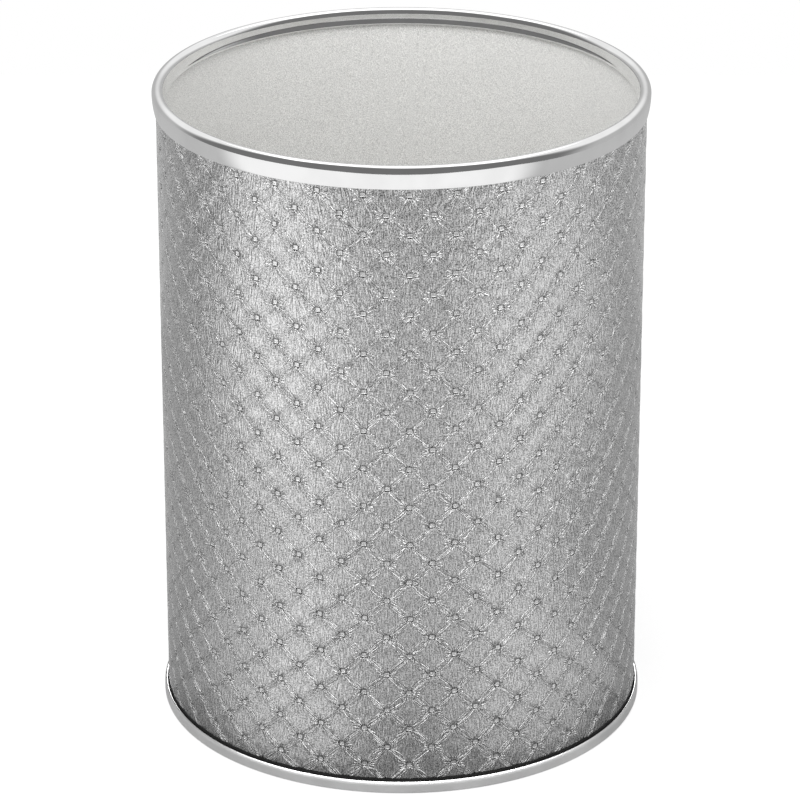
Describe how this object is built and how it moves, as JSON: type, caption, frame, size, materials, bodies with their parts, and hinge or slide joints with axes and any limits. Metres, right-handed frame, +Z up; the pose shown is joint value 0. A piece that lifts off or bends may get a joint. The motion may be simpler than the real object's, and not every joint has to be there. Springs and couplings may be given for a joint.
{
  "type": "wastebasket",
  "caption": "Round open wastebasket: a lined steel drum wrapped in silver diamond-tufted vinyl, with a bright rolled rim and a bright foot ring.",
  "frame": {"origin": "centre of the foot ring's flat underside, on the floor", "axes": "+Z up along the basket's axis; -Y is the side that faces the camera in the picture"},
  "size_m": [0.2338, 0.2338, 0.313],
  "materials": {
    "bright_metal": "polished, mirror bright",
    "matte_lining": "fine sandblasted matte, light warm grey",
    "drum_steel": "plain rolled sheet",
    "foam": "thin backing foam",
    "silver_vinyl": "silver metallic vinyl, soft gloss, fine upright grain",
    "black_strip": "matte black"
  },
  "bodies": {
    "root": {"top_rim": "bright_metal", "inner_liner": "matte_lining", "body_shell": "drum_steel", "foam_backing": "foam", "vinyl_wrap": "silver_vinyl", "edge_strip": "black_strip", "foot_ring": "bright_metal", "base_plate": "drum_steel", "floor_lining": "matte_lining"}
  },
  "joints": []
}
